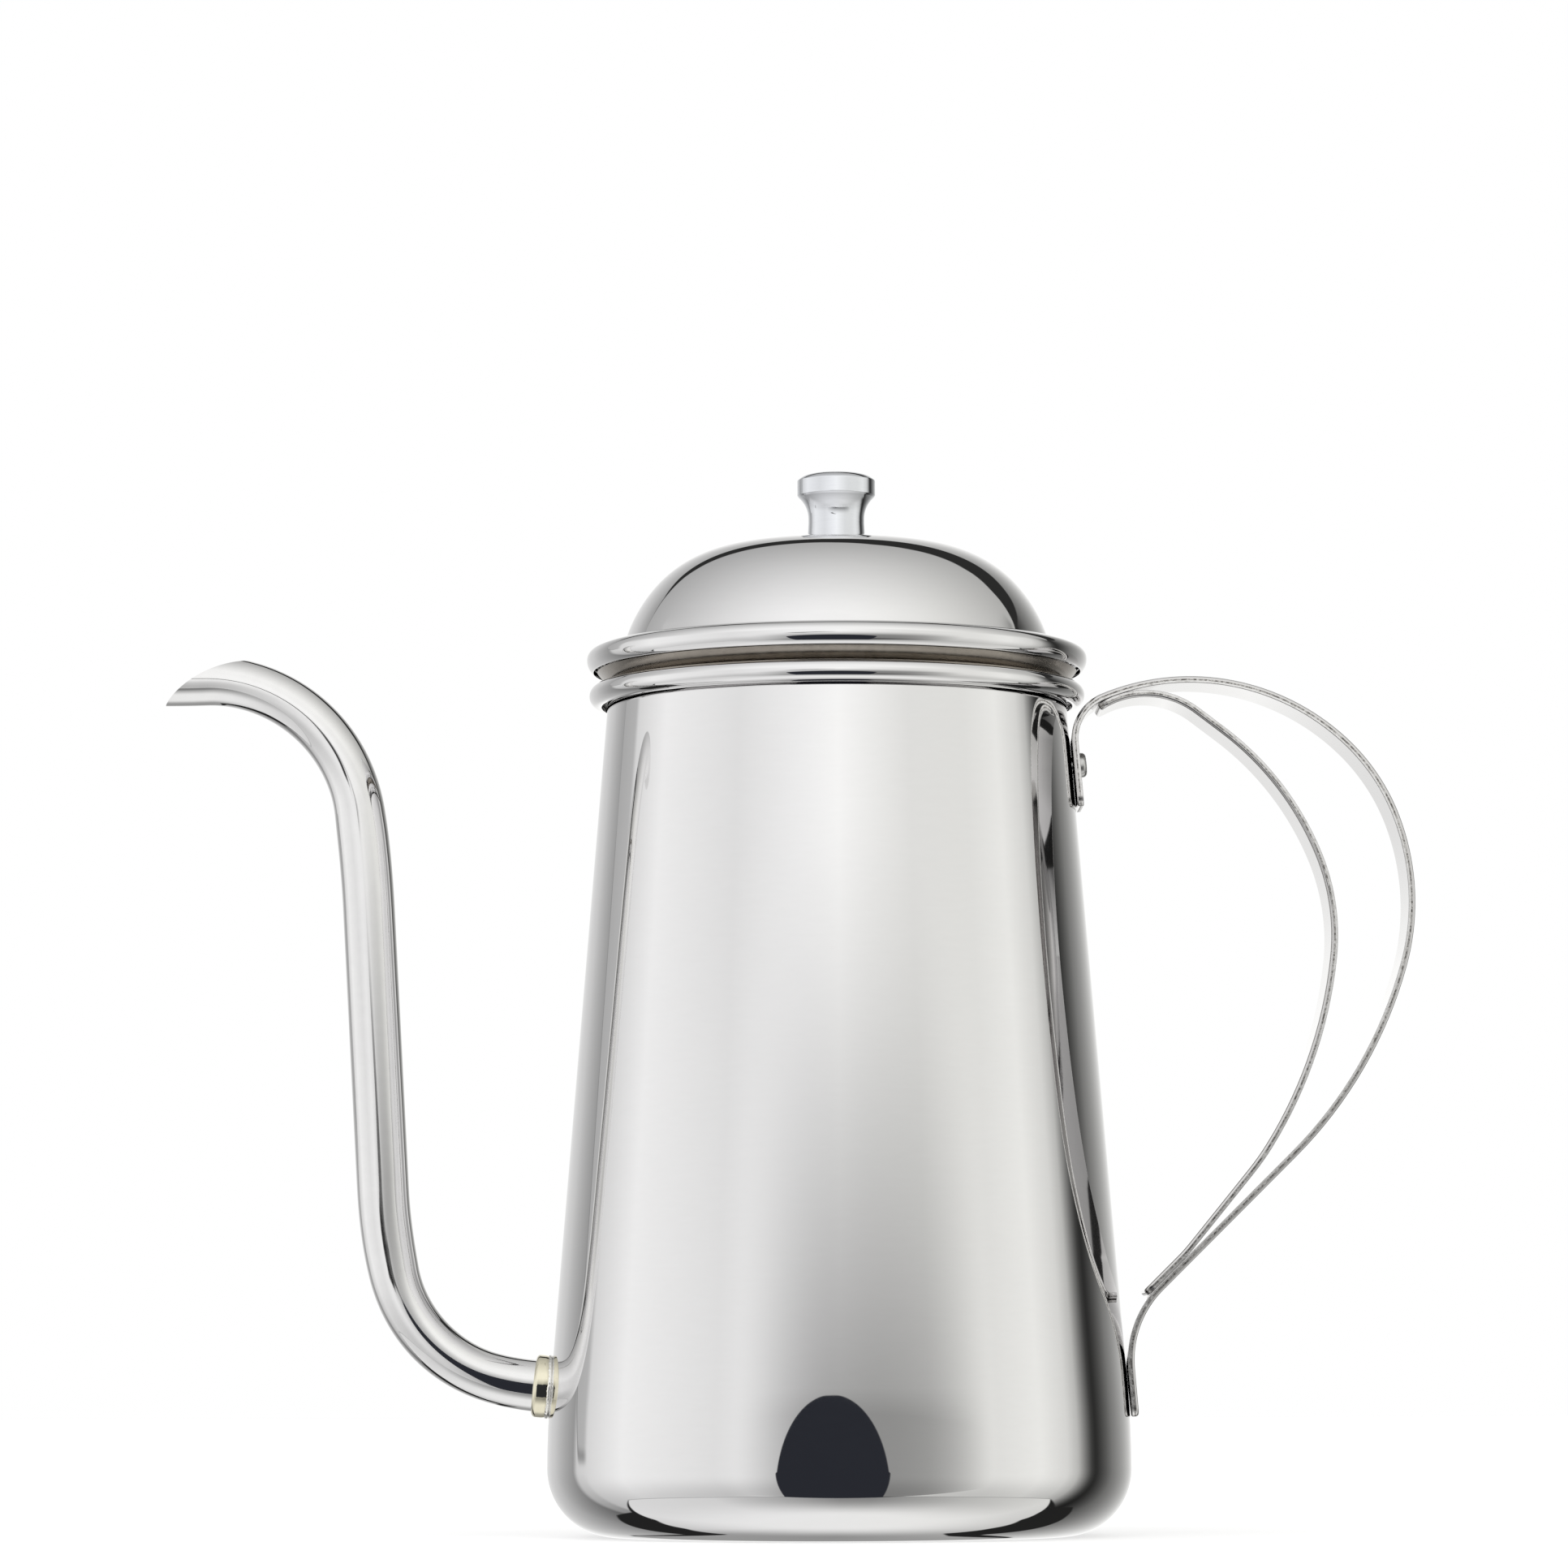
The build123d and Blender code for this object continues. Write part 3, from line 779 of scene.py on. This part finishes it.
def build_handle():
    """Outer strap from tab to tab, and the inner strap that leaves it and meets it again."""
    foot = (wall_radius(TAB_TOP_END) + SLIP, TAB_TOP_END)
    grip = [OUTER_TAB, OUTER_BEND, *OUTER_LOOP]
    legs = route(foot, 90 + CONE_ANGLE, *grip)
    shoulder = walk(legs, [total(legs)])[0]
    slant = np.array([math.cos(shoulder[2]), math.sin(shoulder[2])])
    tab_line = wall_radius(0) + SLIP + STRAP_THICKNESS
    to_corner = (tab_line - CONE_SLOPE * shoulder[1] - shoulder[0]) / (slant[0] + CONE_SLOPE * slant[1])
    corner = shoulder[:2] + slant * to_corner
    tab_end = (tab_line - CONE_SLOPE * TAB_LOW_END, TAB_LOW_END)
    _, steps = corner_steps([shoulder[:2], corner, tab_end], [OUTER_HEEL])
    strap("outer_strap", "handle_outer_strap", route(foot, 90 + CONE_ANGLE, *grip, *steps), 1)

    leaving = OUTER_TAB + OUTER_BEND[0] * math.radians(-OUTER_BEND[1] - OVERLAP_TURN)
    start = walk(legs, [leaving])[0]
    inward = np.array([math.sin(start[2]), -math.cos(start[2])])
    first = start[:2] + inward * (STRAP_THICKNESS + WELD_GAP)
    heading = math.degrees(start[2])
    inner = route(first, heading, *INNER_LOOP)
    leave = walk(inner, [total(inner)])[0]
    fall = np.array([math.cos(leave[2]), math.sin(leave[2])])
    seat = corner + np.array([slant[1], -slant[0]]) * (STRAP_THICKNESS + SLIP)
    gap = seat - leave[:2]
    reach = (gap[0] * slant[1] - gap[1] * slant[0]) / (fall[0] * slant[1] - fall[1] * slant[0])
    touch = leave[:2] + fall * reach
    _, steps = corner_steps([leave[:2], touch, touch + slant * OVERLAP_LOW], [INNER_HEEL])
    strap("inner_strap", "handle_inner_strap", route(first, heading, *INNER_LOOP, *steps), -1)


def build_rivet():
    """Rivet with a round head outside the strap and a flatter tail behind the wall."""
    seat = STRAP_THICKNESS + SLIP
    tail = -(SHEET + 0.15) - 0.6
    head = rounded([(0, seat + 1.45), (RIVET_HEAD, seat + 1.35), (RIVET_HEAD, seat), (RIVET_SHANK, seat)],
                   0.75, 0.08)
    shank = straight((RIVET_SHANK, seat), (RIVET_SHANK, tail))
    end = rounded([(RIVET_SHANK, tail), (RIVET_TAIL, tail), (RIVET_TAIL, tail - 0.9), (0, tail - 0.9)],
                  0.08, 0.4)
    runs = [turned_back(run) for run in (head, shank, end)][::-1]
    turned("rivet_button", runs, [FASTENER], "kettle", "handle_rivet", "polished_steel", 96, RIVET_PLACE)


build_body()
build_lid()
build_knob()
build_spout()
build_collar()
build_solder()
build_handle()
build_rivet()
for hidden in ("rivet_washer", "knob_washer", "knob_screw"):
    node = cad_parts[hidden]
    for place in node.material_slots:
        place.material = FASTENER

# ---- camera ------------------------------------------------------------------------------------------
CAMERA_PLACE = (-0.00973, -1.096, 0.02632)
CAMERA_PITCH = 5.58
CAMERA_ROLL = 0.13
FOCAL_RATIO = 7600 / 1932  # focal length over the width of the frame
camera_data = bpy.data.cameras.new("camera")
camera_data.sensor_width = 36.0
camera_data.lens = 36.0 * FOCAL_RATIO
camera = bpy.data.objects.new("camera", camera_data)
bpy.context.scene.collection.objects.link(camera)
camera.location = CAMERA_PLACE
camera.rotation_mode = "XYZ"
camera.rotation_euler = (math.radians(90 + CAMERA_PITCH), math.radians(CAMERA_ROLL), 0)
bpy.context.scene.camera = camera


# ---- studio: white floor, white background, and the light tent that the steel mirrors -------------------
# The tent's brightness is given in display levels, 0 to 255. Azimuth 0 is towards the camera and 90
# towards the handle; depth is the angle below the horizon.
CAMERA_WALL = 245
LEFT_WALL = 235
RIGHT_WALL = 230
FOLD = 220  # where the side walls meet the camera's wall
LEFT_CORNER = 145
RIGHT_CORNER = 45
BACK_MIDDLE = 250
WALLS = [
    (-180, BACK_MIDDLE), (-170, 210), (-150, 190), (-129, LEFT_CORNER), (-126, 200), (-95, LEFT_WALL),
    (-50, FOLD), (0, CAMERA_WALL), (35, FOLD), (65, FOLD), (85, RIGHT_WALL), (100, 210), (107, 180),
    (117, 60), (120, RIGHT_CORNER), (135, 115), (180, BACK_MIDDLE)]
TABLE_RIM = [(-180, 140), (-165, 150), (-150, 190), (-120, 215), (-60, 205), (0, 130), (15, 130), (60, 180),
             (105, 210), (150, 185), (180, 140)]
OPENING_HALF = 120.0
OPENING_ROUND = 76.0  # height of its half-elliptical top
OPENING_TOP = 66.0


def panel(name, corners, material_name):
    """Face for the studio, and the empty graph of its material."""
    mesh = bpy.data.meshes.new(name)
    mesh.from_pydata(corners, [], [(0, 1, 2, 3)])
    obj = bpy.data.objects.new(name, mesh)
    bpy.context.scene.collection.objects.link(obj)
    material = bpy.data.materials.new(material_name)
    material.use_nodes = True
    mesh.materials.append(material)
    return obj, Graph(material.node_tree)


def build_floor():
    """White floor. The steel mirrors the tent's table in its place."""
    reach = 4.0
    floor, g = panel("studio_floor", [(-reach, -reach, 0), (reach, -reach, 0), (reach, reach, 0),
                                      (-reach, reach, 0)], "floor_white")
    shader = g.node("BsdfPrincipled", Base_Color=(0.8, 0.8, 0.8, 1), Roughness=0.9,
                    Emission_Color=(1, 1, 1, 1), Emission_Strength=0.5)
    g.node("OutputMaterial", Surface=shader.outputs[0])
    floor.visible_glossy = False


def above_table(g, ray, back, azimuth, elevation, depth):
    """Brightness of the tent's walls, its back panel and its roof."""
    # roof of the tent: brightest towards the camera
    roof = g.math("MULTIPLY_ADD", back, 57.0, g.math("MULTIPLY_ADD", ray[0], -3.0, 200.0))
    roof = g.math("MINIMUM", roof, 240.0)
    # sides of the tent and the back panel, round the horizon
    sides = g.curve(azimuth, WALLS)
    fade = g.math("POWER", g.scaled(depth, 0.0, 40.0, 0.0, 1.0), 1.5)
    fade = g.inverse(g.math("MULTIPLY", fade, 0.35))
    in_back = g.step(g.math("ABSOLUTE", azimuth), 117.0, 121.0)
    sides = g.math("MULTIPLY", sides,
                   g.blend(in_back, g.scaled(depth, 5.0, 37.0, 1.0, 0.86, "SMOOTHSTEP"), fade))
    # back panel: it ends at its own top edge, and a dark gap shows between it and the roof
    back_panel = g.math("MULTIPLY", sides, g.scaled(elevation, 12.0, 38.0, 1.0, 0.82, "SMOOTHSTEP"))
    tent = g.blend(g.step(elevation, 14.0, 32.0), sides, roof)
    gap_low = g.curve(azimuth, [
        (-180, 41), (-170, 37.5), (-160, 34.5), (-150, 31.5), (-142, 29), (-137, 24), (-132, 8), (-125, 0),
        (115, 0), (118, 20), (122, 23), (130, 25), (140, 28), (150, 32.5), (160, 36.5), (170, 39),
        (180, 41)], top=90.0)
    gap_high = g.curve(azimuth, [
        (-180, 51), (-170, 48), (-160, 43), (-150, 37), (-142, 30), (-137, 24), (-132, 8), (-125, 0),
        (115, 0), (118, 20), (122, 25), (126, 31), (130, 37), (140, 44.5), (150, 48), (160, 51),
        (170, 52.5), (180, 51)], top=90.0)
    above_low = g.step(g.math("SUBTRACT", elevation, gap_low), -0.6, 0.6)
    above_high = g.step(g.math("SUBTRACT", elevation, gap_high), -0.9, 0.9)
    rear = g.blend(above_high, g.blend(above_low, back_panel, 46.0), roof)
    return g.blend(in_back, tent, rear)


def seam_share(g, azimuth, depth):
    """Share of light left by the short dark seam in the front of the tent, left of the camera."""
    seam = g.curve(depth, [(-6, 7), (-3.1, 6.8), (-2.3, 5), (-1.5, 8.6), (-0.2, 14.8), (2, 19), (6, 22)],
                   low=-6.0, high=6.0, top=60.0)
    dark = g.curve(depth, [(-6, 0), (-4.2, 0), (-3.6, 12), (-3, 34), (-2.3, 52), (-1.5, 56), (-0.8, 66),
                           (-0.2, 78), (1, 80), (2, 60), (3.2, 0), (6, 0)], low=-6.0, high=6.0, top=100.0)
    aside = g.math("ABSOLUTE", g.math("ADD", azimuth, seam))
    in_seam = g.inverse(g.step(aside, 3.4, 6.0))
    return g.inverse(g.math("MULTIPLY", in_seam, g.math("DIVIDE", dark, 100.0)))


def with_table(g, upper, azimuth, depth):
    """Adds the table, dim at its near edge, and the dark gap behind it."""
    table = g.blend(g.step(depth, 43.0, 76.0), g.curve(azimuth, TABLE_RIM), 229.0)
    table_edge = g.curve(azimuth, [
        (-180, 17), (-172, 20), (-167, 46), (-150, 50), (-130, 48), (-105, 31), (-95, 32.5), (-80, 35),
        (-60, 38), (-30, 40.5), (0, 42.5), (30, 40.5), (60, 38), (80, 35), (95, 32.5), (104, 31), (120, 43),
        (130, 48.5), (150, 50), (165, 48.5), (170, 40), (174, 20), (180, 17)], top=90.0)
    gap_edge = g.curve(azimuth, [
        (-180, 17), (-172, 20), (-166, 38), (-150, 37), (-135, 36), (-122, 40), (-105, 31), (-95, 32.5),
        (-80, 35), (-60, 38), (-30, 40.5), (0, 42.5), (30, 40.5), (60, 38), (80, 35), (95, 32.5), (104, 31),
        (118, 36), (128, 31), (140, 34.5), (150, 36.5), (167, 38.5), (174, 20), (180, 17)], top=90.0)
    below_gap = g.step(g.math("SUBTRACT", depth, gap_edge), -0.6, 0.6)
    below_table = g.step(g.math("SUBTRACT", depth, table_edge), -0.6, 0.6)
    return g.blend(below_table, g.blend(below_gap, upper, 38.0), table)


def build_world():
    """Surroundings: plain white to the camera, the light tent to the steel."""
    world = bpy.data.worlds.new("studio")
    world.use_nodes = True
    bpy.context.scene.world = world
    g = Graph(world.node_tree)
    ray = g.node("SeparateXYZ", Vector=g.node("TexCoord").outputs["Generated"]).outputs
    back = g.math("MULTIPLY", ray[1], -1.0)
    azimuth = g.math("DEGREES", g.math("ARCTAN2", ray[0], back))
    elevation = g.math("DEGREES", g.math("ARCSINE", ray[2]))
    depth = g.math("MULTIPLY", elevation, -1.0)
    upper = g.math("MULTIPLY", above_table(g, ray, back, azimuth, elevation, depth),
                   seam_share(g, azimuth, depth))
    shade = with_table(g, upper, azimuth, depth)
    # display brightness to light, made up for the steel's own reflectance
    light = g.math("POWER", g.math("DIVIDE", shade, 255.0), 2.2)
    light = g.math("DIVIDE", light, 0.8)
    warm = g.scaled(ray[0], -0.3, 0.8, 1.0, 0.97)
    tint = g.node("CombineColor", Red=light, Green=light, Blue=g.math("MULTIPLY", light, warm)).outputs[0]
    mirrored = g.node("Background", Color=tint, Strength=1.0)
    white = g.node("Background", Color=(1, 1, 1, 1), Strength=1.0)
    mix = g.node("MixShader")
    g.feed(mix.inputs[0], g.node("LightPath").outputs["Is Camera Ray"])
    g.feed(mix.inputs[1], mirrored.outputs[0])
    g.feed(mix.inputs[2], white.outputs[0])
    g.node("OutputWorld", Surface=mix.outputs[0])


def build_tent_front():
    """Front of the tent, close to the kettle, as reflections see it: dimmer low down, with a plain
    rounded opening in it. It is clear elsewhere, and hidden from the camera."""
    reach, near, foot, top = 0.75, -0.32, -0.252, 0.24
    card, g = panel("tent_front", [(-reach, near, foot), (reach, near, foot), (reach, near, top),
                                   (-reach, near, top)], "tent_front")
    place = g.node("SeparateXYZ", Vector=g.node("TexCoord").outputs["Object"]).outputs
    x = g.math("MULTIPLY", place[0], 1000.0)
    z = g.math("MULTIPLY", place[2], 1000.0)
    across = g.math("MULTIPLY", g.step(x, -270.0, 10.0), g.inverse(g.step(x, 40.0, 560.0)))
    upward = g.math("POWER", g.inverse(g.scaled(z, 52.0, 205.0, 0.0, 1.0)), 1.5)
    dim = g.math("MULTIPLY", g.math("MULTIPLY", across, 0.41), upward)
    clear = g.math("POWER", g.inverse(dim), 2.2)
    rise = g.scaled(z, OPENING_TOP - OPENING_ROUND, OPENING_TOP, 0.0, 1.0)
    half = g.math("SQRT", g.inverse(g.math("MULTIPLY", rise, rise)))
    beside = g.math("SUBTRACT", g.math("ABSOLUTE", g.math("ADD", x, 18.0)),
                    g.math("MULTIPLY", half, OPENING_HALF))
    opening = g.math("MULTIPLY", g.inverse(g.step(z, OPENING_TOP - 1.0, OPENING_TOP)),
                     g.inverse(g.step(beside, -1.5, 1.5)))
    shade = g.node("CombineColor", Red=clear, Green=clear, Blue=clear).outputs[0]
    mix = g.node("MixShader")
    g.feed(mix.inputs[0], opening)
    g.feed(mix.inputs[1], g.node("BsdfTransparent", Color=shade).outputs[0])
    g.feed(mix.inputs[2], g.node("Emission", Color=(0.026, 0.028, 0.036, 1), Strength=1.0).outputs[0])
    g.node("OutputMaterial", Surface=mix.outputs[0])
    card.visible_camera = False
    card.visible_diffuse = False
    card.visible_shadow = False
    card.visible_transmission = False


build_floor()
build_world()
build_tent_front()
bpy.context.scene.view_settings.view_transform = "Standard"
